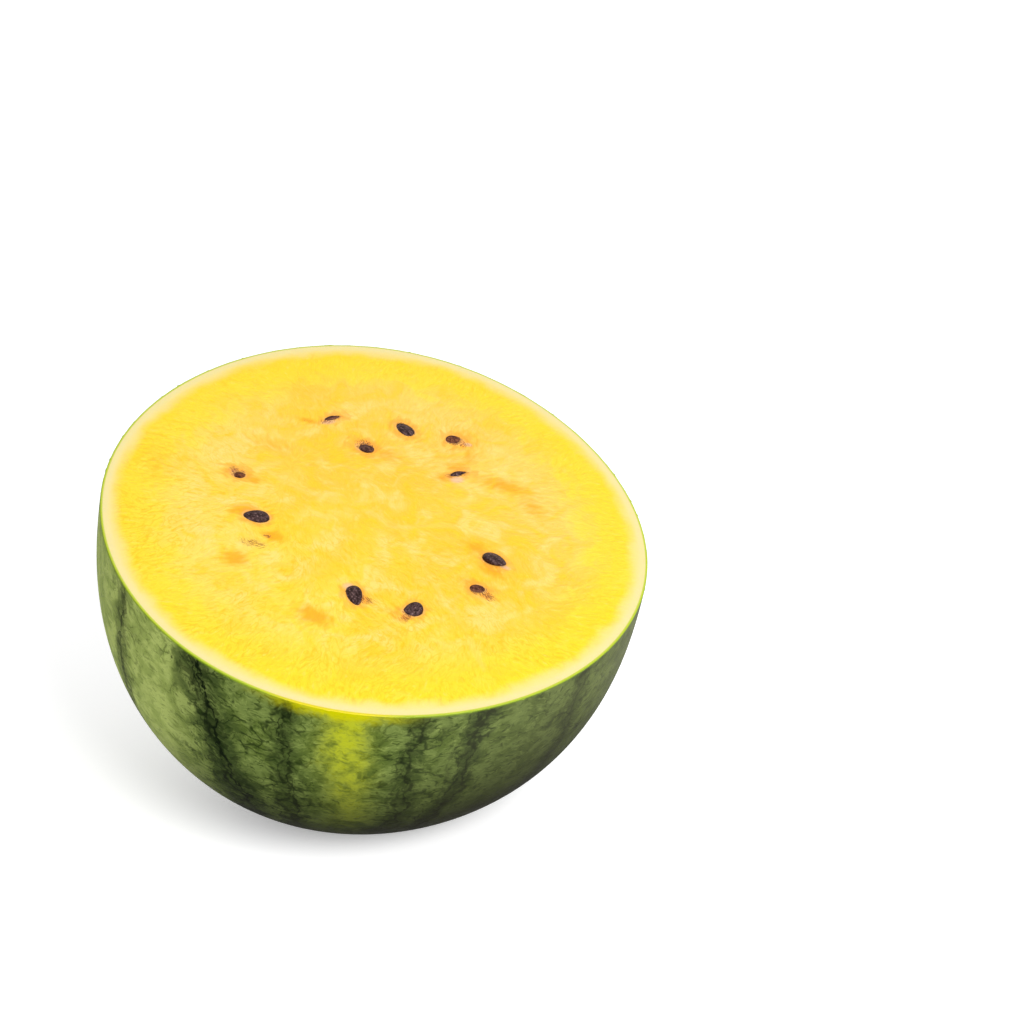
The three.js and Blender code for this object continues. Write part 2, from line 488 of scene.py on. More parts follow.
cutter = bpy.data.objects.new("pockets", cutter_of_all())
bpy.context.scene.collection.objects.link(cutter)
cutter.matrix_world = POSE
boolean = melon.modifiers.new("pockets", "BOOLEAN")
boolean.operation = "DIFFERENCE"
boolean.solver = "EXACT"
boolean.object = cutter
bpy.context.view_layer.update()
cut = bpy.data.meshes.new_from_object(melon.evaluated_get(bpy.context.evaluated_depsgraph_get()))
melon.modifiers.clear()
melon.data = cut
bpy.data.objects.remove(cutter)
bpy.data.meshes.remove(mesh)
mesh = cut
mesh.name = "melon_half_fine"
print(f"{len(mesh.polygons)} faces after cutting the pockets")

# %% [markdown]
# ## Marks that the materials read
# Some of a melon's colour depends on places that a texture can't know: how deep a point is under the skin, how
# far it is from a seed, which way the fibres run there, how far it is from the middle of a dark stripe. Those
# are worked out here for each point and stored on the mesh, and the materials add the fine detail to them.

# %% Store a mark
points = np.empty(len(mesh.vertices) * 3)
mesh.vertices.foreach_get("co", points)
points = points.reshape(-1, 3)
x_mm, y_mm, z_mm = (points / MM).T
bearing = np.arctan2(points[:, 1], points[:, 0])
reach_mm = np.hypot(x_mm, y_mm)


def mark(name, values):
    """Stores one number, or one vector, for each point of the half."""
    kind, field = ("FLOAT_VECTOR", "vector") if values.ndim == 2 else ("FLOAT", "value")
    mesh.attributes.new(name, kind, "POINT").data.foreach_set(field, values.astype(np.float32).ravel())
    print(f"{name}: {values.min():.2f} to {values.max():.2f}")


# %% Depth under the skin, and fibre direction
mark("place", points / MM)
skin_mm = radius_at(np.minimum(points[:, 2], CUT_HEIGHT)) * swelling_at(bearing) / MM
mark("under_skin", skin_mm - reach_mm)
drift = 0.8 * noise_at(points, 26 * MM, 21.0) + 0.6 * noise_at(points, 8 * MM, 23.0)
fibre_x, fibre_y = fibre_direction(x_mm, y_mm, drift)
mark("fibre", np.stack([fibre_x, fibre_y, np.zeros_like(drift)], -1))

# %% Distance to the seeds, and flesh that lies thinly over one
FAR = 12.0  # mm: no seed or vein is felt further off


def seed_marks():
    """In mm: distance to the nearest seed's surface, and depth of flesh over a seed where one lies below."""
    nearest = np.full(len(points), FAR)
    cover = np.full(len(points), FAR)
    for seat, halves in SEATS.values():
        inverse = np.array(seat.inverted())
        local = (points @ inverse[:3, :3].T + inverse[:3, 3]) / halves
        local[:, 0] += SEED_FULLNESS * (1 - np.clip(local[:, 0], -1, 1) ** 2)
        size = np.linalg.norm(local, axis=1) + 1e-9
        slope = np.linalg.norm(local / halves, axis=1) / size
        nearest = np.minimum(nearest, (size - 1) / slope / MM)
        down = inverse[:3, 2] / halves
        half_b, a = local @ down, down @ down
        inside = half_b ** 2 - a * (size ** 2 - 1)
        depth = np.where(inside > 0, -(-half_b + np.sqrt(np.maximum(inside, 0))) / a / MM, FAR)
        cover = np.minimum(cover, np.where((depth > -0.2) & (depth < FAR), np.maximum(depth, 0), FAR))
    return np.clip(nearest, 0, FAR), cover


seed_distance, seed_cover = seed_marks()
mark("seed_distance", seed_distance)
mark("seed_cover", seed_cover)

# %% Stains: x, y, length and width in mm on the cut face, turn in degrees, strength
WARM_STAINS = (  # deep gold, where sugar and juice have gathered
    (-54, -35.5, 9, 7, 0, 0.9), (-40, -20, 7, 5, -10, 1.0), (-20, -61.5, 13, 8, -25, 0.8),
    (-45, 34.7, 20, 8, -15, 0.35), (-33, 53.7, 9, 2.5, -8, 0.8), (52, 30.7, 22, 7, -12, 0.7),
    (64, 20, 12, 8, -40, 0.5), (-54, -7, 9, 5, 20, 0.9), (41, -9, 8, 7, 0, 0.7),
    (8, 57, 13, 11, 0, 0.4), (33, 56.7, 14, 11, 0, 0.5), (36, 45.7, 7, 14, 0, 0.5),
    (31, 38.7, 10, 6, 0, 0.6), (25, 30.7, 6, 5, 0, 0.6), (-6, 41.7, 13, 9, 0, 0.6),
    (1, 39.7, 12, 8, -20, 0.5), (-57, 14, 13, 7, -5, 0.5), (-51, 12, 4, 4, 0, 0.8),
    (12, -53, 8, 7, 30, 0.5), (41, -31, 11, 7, -20, 0.55), (48, -22, 10, 4, -27, 0.8),
    (-91, 14, 12, 26, 10, 0.3), (30, 46.7, 24, 28, 0, 0.25),
)
BROWN_HAIRS = (  # where the seed's fibres were torn
    (-47.5, -25.5, 11, 5, -8, 0.7), (-42.3, -20.5, 2.6, 2.4, 0, 1.0), (-0.5, -48.5, 6, 4, -20, 0.9),
    (15.5, -55, 6, 4, 40, 0.9), (47.2, -36.8, 6, 3.6, -30, 1.0), (33.5, 53.2, 5, 3, 0, 0.8),
    (28.5, 32.2, 3.5, 3, 0, 0.9), (-8.5, 44.7, 7, 4.5, -25, 0.9), (-60, 16.5, 4, 3.4, -20, 0.9),
    (-25.5, 55.2, 6, 3, 10, 0.8), (-33, 53.7, 9, 1.8, -8, 0.4),
)
PALE_FILMS = (  # what is left of the jelly round a seed
    (31.5, 30.2, 6, 4.2, 20, 0.95), (-24.5, 55, 7, 3, 25, 0.85), (-8, -42.5, 5.5, 4.5, 0, 0.8),
    (53, -18.2, 6, 2.6, -25, 0.8), (35, 53.7, 4, 2.6, 0, 0.9), (10.5, 55.6, 5, 2.4, -35, 0.4),
    (-60, 15.5, 5, 4, -20, 0.5), (-48, 32.7, 12, 9, 0, 0.25),
)


def stained(stains):
    """The strongest of these stains at each point: soft ellipses."""
    strongest = np.zeros(len(points))
    for cx, cy, length, width, turn, strength in stains:
        c, s = cos(radians(turn)), sin(radians(turn))
        along = ((x_mm - cx) * c + (y_mm - cy) * s) / (0.6 * length)
        across = (-(x_mm - cx) * s + (y_mm - cy) * c) / (0.6 * width)
        strongest = np.maximum(strongest, strength * np.exp(-(along ** 2 + across ** 2)))
    return strongest


mark("warm", stained(WARM_STAINS))
mark("hairy", stained(BROWN_HAIRS))
mark("pale", stained(PALE_FILMS))

# %% Veins of the flesh
PALE_VEINS = (  # paths in mm on the cut face, from the middle out
    ((-31, 9), (-8, 5), (10, -4), (22, -28), (40, -60), (47, -78)),
    ((10, -4), (30, 2), (52, -4)),
    ((-8, 5), (-4, 26), (8, 44)),
    ((-31, 9), (-52, 22), (-74, 28)),
)


def vein_distance():
    """Distance in mm from the nearest vein."""
    nearest = np.full(len(points), FAR)
    for path in PALE_VEINS:
        for (ax, ay), (bx, by) in zip(path, path[1:]):
            ux, uy = bx - ax, by - ay
            share = np.clip(((x_mm - ax) * ux + (y_mm - ay) * uy) / (ux * ux + uy * uy), 0, 1)
            nearest = np.minimum(nearest, np.hypot(x_mm - ax - share * ux, y_mm - ay - share * uy))
    return nearest


mark("vein", np.minimum(FAR, vein_distance() + 1.6 * noise_at(points, 6 * MM, 51.0)))

# %% Stripes of the rind
STRIPES = (  # bearing at the cut, bearing low down, half width in mm, darkness
    (-148, -146, 5, 0.55), (-124.5, -111, 9.5, 1.0), (-104, -100, 4.5, 0.75), (-77, -77, 5, 0.65),
    (-63, -68, 4, 0.8), (-38, -42, 5, 0.6), (-12, -14, 6, 0.8), (16, 14, 5, 0.7),
    (44, 46, 7, 1.0), (73, 71, 5, 0.7), (99, 101, 6, 0.8), (127, 125, 7, 1.0),
    (154, 156, 5, 0.7), (-175, -172, 6, 0.8),
)
LOW_DOWN = -59.0  # mm: the height that the second bearing is for
GROUND_SPOT = (-92, -87)  # bearings of the place where the fruit lay


def mm_from(at_cut, low_down):
    """Distance in mm round the rind from a line that runs down it."""
    share = np.clip((CUT_HEIGHT / MM - z_mm) / (CUT_HEIGHT / MM - LOW_DOWN), 0, 1)
    line = at_cut + (low_down - at_cut) * share
    return np.radians((np.degrees(bearing) - line + 180) % 360 - 180) * np.maximum(reach_mm, 15)


def stripe_marks():
    """Distance from the nearest stripe in half widths, signed distance in mm, and how dark that stripe is."""
    wander = 2.2 * noise_at(points, 26 * MM, 31.0) + 1.0 * noise_at(points, 9 * MM, 35.0)
    nearest = np.full(len(points), 9.0)
    across = np.zeros(len(points))
    darkness = np.zeros(len(points))
    for at_cut, low_down, half_width, dark in STRIPES:
        offset = mm_from(at_cut, low_down) + wander
        closer = np.abs(offset) / half_width < nearest
        darkness = np.where(closer, dark, darkness)
        across = np.where(closer, offset, across)
        nearest = np.where(closer, np.abs(offset) / half_width, nearest)
    return nearest, across, darkness


stripe, across, stripe_dark = stripe_marks()
from_ground_spot = mm_from(*GROUND_SPOT) + 3 * noise_at(points, 20 * MM, 37.0)
mark("stripe", stripe)
mark("stripe_dark", stripe_dark)
mark("across", across)
mark("stripe_mm", np.abs(across))
mark("ground_spot", np.exp(-(from_ground_spot / 10.5) ** 2) * np.clip(1 + (z_mm - 5) / 110, 0.3, 1))
mark("yellow_lip", np.clip(1.05 - np.abs(from_ground_spot + 5) / 40, 0, 1))
mark("below_cut", CUT_HEIGHT / MM - z_mm)

# %% Sides of the fruit
# Painted light: one side of the rind is painted lighter, as the side that the light falls on.
LIT_SIDE_MIDDLE = -150  # bearing of the middle of the paler side


def sector(start, start_width, end, end_width, turn=0.0):
    """1 between two bearings and 0 outside them, fading over these widths, all in degrees."""
    round_it = (np.degrees(bearing) - turn + 180) % 360 - 180
    return np.clip((round_it - start) / start_width, 0, 1) * np.clip((end - round_it) / end_width, 0, 1)


# Painted light: lighter round this bearing, fading out towards the front and the back.
mark("painted_lit_side", sector(-60, 25, 32, 14, LIT_SIDE_MIDDLE))
# Painted sheen and shade: the right side gets a darker grey-green, and the painted shade underneath reaches
# higher there.
right_sheen_and_shade = sector(-85, 40, 130, 60)
mark("right_sheen_and_shade", right_sheen_and_shade)
# The skin's waxy bloom with painted sheen: grey on the right-hand side, fading out downwards.
mark("bloom_and_sheen", sector(-38, 30, 80, 60) * np.clip(1 + z_mm / 60, 0, 1))

# %% Painted shade underneath
PAINTED_SHADE_TOP = 68  # mm above the table: painted shade darkens the skin from here down
SHADE_HIGHER_ON_THE_RIGHT = 14
PAINTED_SHADE_FADE = 52
# Painted shade: the lower the skin stands above the table, the darker it is painted, and it starts higher on the
# right.
stands_mm = (points @ np.array(POSE.to_3x3()).T[:, 2] + POSE.translation.z) / MM
under = (PAINTED_SHADE_TOP + SHADE_HIGHER_ON_THE_RIGHT * right_sheen_and_shade - stands_mm) / PAINTED_SHADE_FADE
mark("painted_underside_shade", np.clip(under, 0, 1) ** 1.05)

# %% [markdown]
# ## Building materials
# Each material is a small network of nodes. A few helpers keep it readable: one adds a node and joins its inputs,
# and the others are the fades, noises and layers that are used over and over. A colour is written as it should
# look on the fruit, and paint() takes the room's brightness back out of it.

# %% Paint
LIGHT = 1.5  # the room is so much brighter than one that shows a white as just white


def paint(code):
    """The finish that looks like this colour, written as six hex digits, in the light of the room."""
    shares = [int(code[i:i + 2], 16) / 255 for i in (0, 2, 4)]
    linear = [s / 12.92 if s <= 0.04045 else ((s + 0.055) / 1.055) ** 2.4 for s in shares]
    return tuple(s / LIGHT for s in linear) + (1.0,)


print("a finish that looks white reflects", round(paint("FFFFFF")[0], 2))

# %% Node helpers


class Network:
    """A material's nodes."""

    def __init__(self, name):
        self.material = bpy.data.materials.new(name)
        self.material.use_nodes = True
        self.tree = self.material.node_tree
        self.shader = self.tree.nodes["Principled BSDF"]

    def add(self, kind, inputs=(), **settings):
        node = self.tree.nodes.new("ShaderNode" + kind)
        for key, value in settings.items():
            setattr(node, key, value)
        for key, value in dict(inputs).items():
            self.join(value, node.inputs[key])
        return node

    def join(self, value, socket):
        if isinstance(value, bpy.types.NodeSocket):
            self.tree.links.new(value, socket)
        else:
            socket.default_value = value

    def mark(self, name):
        return self.add("Attribute", attribute_name=name).outputs["Fac"]

    def direction(self, name):
        return self.add("Attribute", attribute_name=name).outputs["Vector"]

    def place(self):
        """The point's own place in the fruit's frame, in mm."""
        return self.direction("place")

    def math(self, operation, a, b=0.0, c=0.0):
        return self.add("Math", {0: a, 1: b, 2: c}, operation=operation).outputs[0]

    def times(self, a, b):
        return self.math("MULTIPLY", a, b)

    def plus(self, a, b):
        return self.math("ADD", a, b)

    def apart(self, a, b):
        """How far one number is from another."""
        return self.math("ABSOLUTE", self.math("SUBTRACT", a, b))

    def vector(self, operation, a, b):
        return self.add("VectorMath", {0: a, 1: b}, operation=operation).outputs[0]

    def scaled(self, vector, share):
        return self.add("VectorMath", {0: vector, "Scale": share}, operation="SCALE").outputs[0]

    def blend(self, share, a, b):
        return self.add("Mix", {0: share, 6: a, 7: b}, data_type="RGBA").outputs[2]

    def over(self, colour, share, code):
        """The colour with a layer of paint over it, as thick as the share."""
        return self.blend(share, colour, paint(code))

    def fade(self, value, start, end, low=0.0, high=1.0):
        """Low up to start, high from end on, and a smooth step between."""
        inputs = {"Value": value, "From Min": start, "From Max": end, "To Min": low, "To Max": high}
        return self.add("MapRange", inputs, interpolation_type="SMOOTHSTEP").outputs["Result"]

    def noise(self, place, scale, detail=2.0, roughness=0.5, distortion=0.0):
        inputs = {"Vector": place, "Scale": scale, "Detail": detail, "Roughness": roughness,
                  "Distortion": distortion}
        return self.add("TexNoise", inputs).outputs["Fac"]

    def cells(self, place, scale):
        """Distance from the lines of a net of uneven cells."""
        node = self.add("TexVoronoi", {"Vector": place, "Scale": scale}, feature="DISTANCE_TO_EDGE")
        return node.outputs["Distance"]

    def stirred(self, place, source, scale, reach):
        """A place moved about by noise at the source, by up to half the reach each way."""
        cloud = self.add("TexNoise", {"Vector": source, "Scale": scale, "Detail": 3.0}).outputs["Color"]
        push = self.scaled(self.vector("SUBTRACT", cloud, (0.5, 0.5, 0.5)), reach)
        return self.vector("ADD", place, push)

    def bump(self, height, strength, distance):
        """Relief too fine for the mesh. The distance is in metres."""
        node = self.add("Bump", {"Strength": strength, "Distance": distance, "Height": height})
        self.join(node.outputs["Normal"], self.shader.inputs["Normal"])

    def finish(self, colour, roughness, specular):
        """What every surface has. The specular level is the same all over, so it stays a number."""
        self.join(colour, self.shader.inputs["Base Color"])
        self.join(roughness, self.shader.inputs["Roughness"])
        self.shader.inputs["Specular IOR Level"].default_value = specular
        print(f"{self.material.name}: {len(self.tree.nodes)} nodes")
        return self.material


# %% [markdown]
# ## Flesh
# Ripe yellow flesh is a wet mass of cells. Its colour runs from lemon near the rind to a warmer yellow inside,
# in soft clouds, with short strokes of deeper yellow along the fibres. One noise texture would give only the
# clouds. A stroke is noise smeared along the fibre: the mean of five looks at it, as a brush drags paint.

# %% Strokes along the fibres


def strokes(net, place, along, scale, step, detail=2.0):
    """Noise smeared along the fibres: the mean of five looks, a step apart."""
    total = 0.0
    for k in (-2, -1, 0, 1, 2):
        at = net.vector("ADD", place, net.scaled(along, k * step))
        total = net.plus(net.noise(at, scale, detail), total)
    return net.times(total, 1 / 5)


# %% The yellow, in clouds


def flesh_clouds(net, patches, slant, across):
    """A warm yellow, paler to the left and the back, with soft patches, and richer near the rind."""
    clouds = net.noise(net.place(), 0.03, 3.0, 0.55, 0.6)
    colour = net.blend(net.fade(slant, -75.0, 25.0), paint("FFDC44"), paint("FFCE40"))
    colour = net.over(colour, net.fade(clouds, 0.4, 0.62, 0.0, 0.4), "FFC43A")
    colour = net.over(colour, net.fade(across, -25.0, -80.0, 0.0, 0.6), "FFE070")
    aside = net.plus(slant, net.times(across, 0.6))
    colour = net.over(colour, net.fade(aside, 30.0, 95.0, 0.0, 0.6), "FFD66C")
    colour = net.over(colour, net.fade(patches, 0.46, 0.7, 0.0, 0.6), "FFE284")
    colour = net.over(colour, net.fade(patches, 0.5, 0.3, 0.0, 0.65), "FFD010")
    rich = net.plus(net.mark("under_skin"), net.fade(patches, 0.3, 0.7, 8.0, -8.0))
    return net.over(colour, net.fade(rich, 34.0, 14.0, 0.0, 0.8), "FFDE14")


# %% The strokes, drawn over the clouds


def flesh_strokes(net, colour, along, stroke, fine, slant):
    """Broad soft strokes, fine creases, and a few long lines, all busier towards the front."""
    place = net.place()
    busy = net.times(net.fade(net.noise(place, 0.05, 2.0), 0.35, 0.65, 0.4, 1.0),
                     net.fade(slant, 30.0, -50.0, 0.6, 1.4))
    colour = net.over(colour, net.times(net.fade(stroke, 0.5, 0.36, 0.0, 0.5), busy), "FCC608")
    colour = net.over(colour, net.fade(stroke, 0.54, 0.68, 0.0, 0.2), "FFE88E")
    crease = net.fade(net.apart(fine, 0.5), 0.018, 0.0, 0.0, 0.22)
    colour = net.over(colour, net.times(crease, busy), "EBB400")
    colour = net.over(colour, net.fade(fine, 0.45, 0.36, 0.0, 0.16), "F7C400")
    grain = strokes(net, net.vector("ADD", place, (3.0, 70.0, 11.0)), along, 0.28, 1.1, 1.0)
    lines = net.math("PINGPONG", net.times(grain, 9.0), 0.5)
    return net.over(colour, net.times(net.fade(lines, 0.2, 0.0, 0.0, 0.38), busy), "F2BC00")


# %% [markdown]
# Round each seed the flesh is pale where the seed's jelly was, then orange. Torn fibres stand as brown hairs, and
# a seed just under the surface shows through as brown. The marks on the mesh say where all of this is, and the
# material only frays its edges.

# %% Round the seeds


def flesh_round_seeds(net, colour, stroke, patches):
    """An orange halo with a thin darker ring, a paler wet edge, and the pale films of jelly."""
    gap = net.mark("seed_distance")
    away = net.plus(gap, net.fade(stroke, 0.35, 0.65, -0.8, 0.8))
    colour = net.over(colour, net.fade(away, 3.0, 0.0, 0.0, 0.8), "FFAA38")
    ring = net.fade(net.apart(away, 2.0), 0.6, 0.0, 0.0, 0.22)
    colour = net.over(colour, net.times(ring, net.fade(patches, 0.45, 0.6)), "F09A14")
    near = net.plus(gap, net.fade(patches, 0.35, 0.65, -0.5, 0.6))
    colour = net.over(colour, net.fade(near, 0.7, 0.15, 0.0, 0.35), "FFC684")
    return net.over(colour, net.fade(net.mark("pale"), 0.25, 0.85, 0.0, 0.75), "EEC6A6")


def torn_hairs(net, colour, along):
    """Brown hairs along the fibres, and the brown of seeds that lie under thin flesh."""
    hairy = net.mark("hairy")
    strand = strokes(net, net.vector("ADD", net.place(), (9.0, 50.0, 3.0)), along, 2.6, 0.22, 1.0)
    torn = net.plus(strand, net.times(hairy, -0.16))
    hair = net.times(net.fade(torn, 0.41, 0.35), net.fade(hairy, 0.12, 0.4))
    colour = net.over(colour, net.fade(hairy, 0.1, 0.9, 0.0, 0.35), "F09A3C")
    colour = net.over(colour, net.times(hair, 0.78), "804020")
    through = net.plus(net.mark("seed_cover"), net.fade(strand, 0.35, 0.6, -0.6, 0.8))
    return net.over(colour, net.fade(through, 1.2, 0.2, 0.0, 0.8), "6A3A26")


# %% [markdown]
# The white of the rind shows as a pale band round the flesh, with a thin line of green outside it. Over the
# place where the fruit lay on the ground that line is yellow.

# %% The pale band at the edge


def flesh_rim(net, colour):
    """The pale band, the light line outside it, and the green or yellow edge of the skin."""
    depth = net.mark("under_skin")
    lip = net.mark("yellow_lip")
    band = net.plus(depth, net.fade(net.noise(net.place(), 0.07, 2.0), 0.3, 0.7, -1.3, 1.3))
    colour = net.over(colour, net.fade(band, 9.4, 2.8), "F8E08A")
    colour = net.over(colour, net.fade(depth, 5.0, 2.2, 0.0, 0.7), "EEE0A2")
    skin = net.blend(net.fade(lip, 0.2, 0.7), paint("BCCC30"), paint("DCCC14"))
    colour = net.blend(net.fade(depth, 1.3, 0.6), colour, skin)
    green = net.times(net.fade(depth, 0.45, 0.1), net.fade(lip, 0.7, 0.2))
    return net.over(colour, green, "8CA41C")


# %% The flesh put together
JUICE_GLOW = 0.2  # share of the light that goes into the wet flesh and comes out again
GLOW_REACH = 2 * MM


def flesh_material():
    net = Network("yellow_flesh")
    place = net.place()
    along = net.direction("fibre")
    across, back, _ = net.add("SeparateXYZ", {0: place}).outputs
    slant = net.plus(net.times(across, 0.4), back)
    patches = net.noise(place, 0.095, 3.0, 0.5, 0.8)
    stroke = strokes(net, place, along, 0.5, 0.55)
    fine = strokes(net, net.vector("ADD", place, (40.0, 7.0, 3.0)), along, 1.1, 0.4)

    colour = flesh_clouds(net, patches, slant, across)
    colour = flesh_strokes(net, colour, along, stroke, fine, slant)
    colour = net.over(colour, net.fade(net.mark("vein"), 2.0, 0.0, 0.0, 0.13), "FFE896")
    warm = net.times(net.mark("warm"), net.fade(patches, 0.3, 0.6, 0.9, 1.1))
    streaked = net.plus(warm, net.fade(stroke, 0.4, 0.6, 0.1, -0.1))
    colour = net.over(colour, net.fade(streaked, 0.0, 0.8, 0.0, 0.86), "FFAC04")
    colour = flesh_round_seeds(net, colour, stroke, patches)
    colour = torn_hairs(net, colour, along)
    colour = flesh_rim(net, colour)

    inner = net.fade(net.mark("under_skin"), 3.0, 12.0, 0.2, 1.0)
    net.bump(net.times(net.plus(net.times(stroke, 0.6), net.times(fine, 0.4)), inner), 0.5, 1.5 * MM)
    net.shader.inputs["Subsurface Weight"].default_value = JUICE_GLOW
    net.shader.inputs["Subsurface Radius"].default_value = (1.0, 0.7, 0.25)
    net.shader.inputs["Subsurface Scale"].default_value = GLOW_REACH
    return net.finish(colour, net.fade(stroke, 0.4, 0.6, 0.4, 0.6), 0.25)


flesh = flesh_material()

# %% [markdown]
# ## Rind
# The skin is a muted green with a waxy bloom. Dark stripes run from the stem end to the blossom end. Each is a
# soft dark green band with a few nearly black veins wandering down it, and a net of thinner veins reaches out of
# it between paler lobes. A stripe drawn as a curve would look inked on, so the distance from its middle is a mark
# on the mesh, and noise bends it.

# %% The green between the stripes


def rind_ground(net, lobes, mottle):
    """Green in lighter lobes and darker hollows, finely mottled, and painted lighter on the side that the light
    falls on.
    """
    # Painted light: the field and lobe greens are lighter on the lit side.
    pale = net.mark("painted_lit_side")
    field = net.blend(pale, paint("6E7E40"), paint("AEBC6A"))
    shade = net.blend(pale, paint("54642B"), paint("94A456"))
    colour = net.blend(net.fade(lobes, 0.4, 0.6), shade, field)
    colour = net.over(colour, net.fade(mottle, 0.52, 0.7, 0.0, 0.4), "9AAA5C")
    return net.over(colour, net.fade(mottle, 0.47, 0.34, 0.0, 0.45), "36481A")


# %% The dark bands


def rind_bands(net, colour, torn, stripe, dark):
    """A soft band for each stripe, with darker blotches that thin out away from its middle."""
    band = net.times(net.fade(stripe, 1.7, 0.2), dark)
    colour = net.over(colour, net.times(band, 0.7), "303E20")
    blotch = net.math("SUBTRACT", net.noise(torn, 0.24, 4.0, 0.65), net.times(net.mark("stripe"), 0.13))
    blotch = net.times(net.fade(blotch, 0.4, 0.5), dark)
    return net.over(colour, net.times(blotch, 0.7), "1A260E")


# %% The veins
MAIN_VEINS = ((-1.2, 1.0), (1.0, 0.8), (4.0, 0.5))  # mm beside the middle of a stripe, and how dark


def main_vein(net, place, offset, uneven):
    """A dark wandering line beside the middle of a stripe, thick and thin by turns."""
    sway = net.noise(net.vector("ADD", place, (31 * offset, 17.0, 5.0)), 0.075, 3.5, 0.6)
    line = net.plus(net.mark("across"), net.math("MULTIPLY_ADD", sway, 22.0, offset - 11.0))
    drawn = net.fade(net.math("DIVIDE", net.math("ABSOLUTE", line), uneven), 1.6, 0.1)
    return net.times(drawn, net.fade(net.mark("stripe_mm"), 9.0, 6.5))


def rind_veins(net, colour, place, torn, sideways, stripe, dark):
    """Side veins near the stripes, short squiggles all over, and the main veins on top."""
    # Painted light: side veins and squiggles are fainter on the side painted lighter, as if washed out by light.
    pale = net.mark("painted_lit_side")
    uneven = net.fade(net.noise(torn, 0.22, 3.0), 0.35, 0.65, 0.3, 1.5)
    side_veins = net.fade(net.math("DIVIDE", net.cells(sideways, 0.12), uneven), 0.1, 0.01)
    broken = net.fade(net.noise(place, 0.13, 3.0), 0.42, 0.6)
    side_veins = net.times(side_veins, net.times(net.fade(stripe, 4.2, 1.2, 0.14, 1.0), broken))
    colour = net.over(colour, net.times(side_veins, net.fade(pale, 0.0, 1.0, 0.8, 0.45)), "1B290E")
    squiggles = net.fade(net.math("DIVIDE", net.cells(sideways, 0.3), uneven), 0.13, 0.0)
    squiggles = net.times(squiggles, net.fade(net.noise(torn, 0.35, 2.0), 0.48, 0.6))
    colour = net.over(colour, net.times(squiggles, net.fade(pale, 0.0, 1.0, 0.75, 0.15)), "26360F")
    for offset, drawn in MAIN_VEINS:
        vein = main_vein(net, torn, offset, uneven)
        colour = net.over(colour, net.times(vein, net.times(dark, drawn)), "0E1808")
    return colour


# %% [markdown]
# Some of a melon's colour belongs to a place on it: the yellow spot that lay on the ground and the yellow lip
# over it. Painted light and shade go over these: a grey sheen and shade on the right, the waxy bloom with painted
# sheen on one side, and painted shade on the skin underneath.

# %% Places on the rind


def rind_places(net, colour, lobes, mottle):
    """The ground spot and the lip at the cut, then painted sheen and shade on the right, wax with painted sheen,
    and painted shade underneath.
    """
    lip_side = net.mark("yellow_lip")
    below = net.mark("below_cut")
    spot = net.times(net.mark("ground_spot"), net.fade(lobes, 0.32, 0.64, 0.5, 1.08))
    spot = net.times(spot, net.fade(mottle, 0.34, 0.52, 0.65, 1.0))
    colour = net.over(colour, net.fade(spot, 0.0, 1.1, 0.0, 0.93), "AEB420")
    lip = net.fade(net.plus(below, net.fade(lobes, 0.3, 0.7, -1.2, 1.2)), 7.5, 0.0)
    lip = net.times(net.times(lip, lip_side), net.fade(mottle, 0.36, 0.52, 0.75, 1.0))
    colour = net.over(colour, net.fade(lip, 0.0, 0.9), "BCBA04")
    edge = net.times(net.fade(below, 1.2, 0.3, 0.0, 0.8), net.fade(lip_side, 0.7, 0.2))
    colour = net.over(colour, edge, "7E9A10")
    # Painted grey sheen and painted shade over the right side.
    colour = net.over(colour, net.times(net.mark("right_sheen_and_shade"), 0.45), "5C5C48")
    # The waxy bloom with painted sheen, in grey.
    colour = net.over(colour, net.times(net.mark("bloom_and_sheen"), 0.45), "7C7C66")
    # Painted shade on the underside, nearly black at the bottom.
    return net.over(colour, net.times(net.mark("painted_underside_shade"), 0.93), "1A190E")


# %% The rind put together


def rind_material():
    net = Network("striped_rind")
    place = net.place()
    bent = net.stirred(place, place, 0.07, 11.0)
    torn = net.stirred(bent, place, 0.33, 2.6)
    sideways = net.vector("MULTIPLY", torn, (0.6, 0.6, 1.5))
    lobes = net.noise(bent, 0.12, 4.0, 0.6)
    mottle = net.noise(sideways, 0.5, 5.0, 0.65)
    wobble = net.fade(net.noise(torn, 0.12, 4.0, 0.6), 0.3, 0.7, -0.7, 0.7)
    stripe = net.plus(net.mark("stripe"), wobble)
    dark = net.mark("stripe_dark")

    colour = rind_ground(net, lobes, mottle)
    colour = rind_bands(net, colour, torn, stripe, dark)
    colour = rind_veins(net, colour, place, torn, sideways, stripe, dark)
    colour = rind_places(net, colour, lobes, mottle)
    net.bump(mottle, 0.3, 0.6 * MM)
    return net.finish(colour, net.fade(mottle, 0.3, 0.7, 0.4, 0.55), 0.003)


rind = rind_material()

# %% [markdown]
# ## Seed coat
# A ripe seed is dark brown, nearly black, finely pitted, and wet from the flesh. A seed that hasn't ripened has
# stayed a lighter brown. One material does for all of them, because each seed stores how unripe it is.

# %% The seed coat


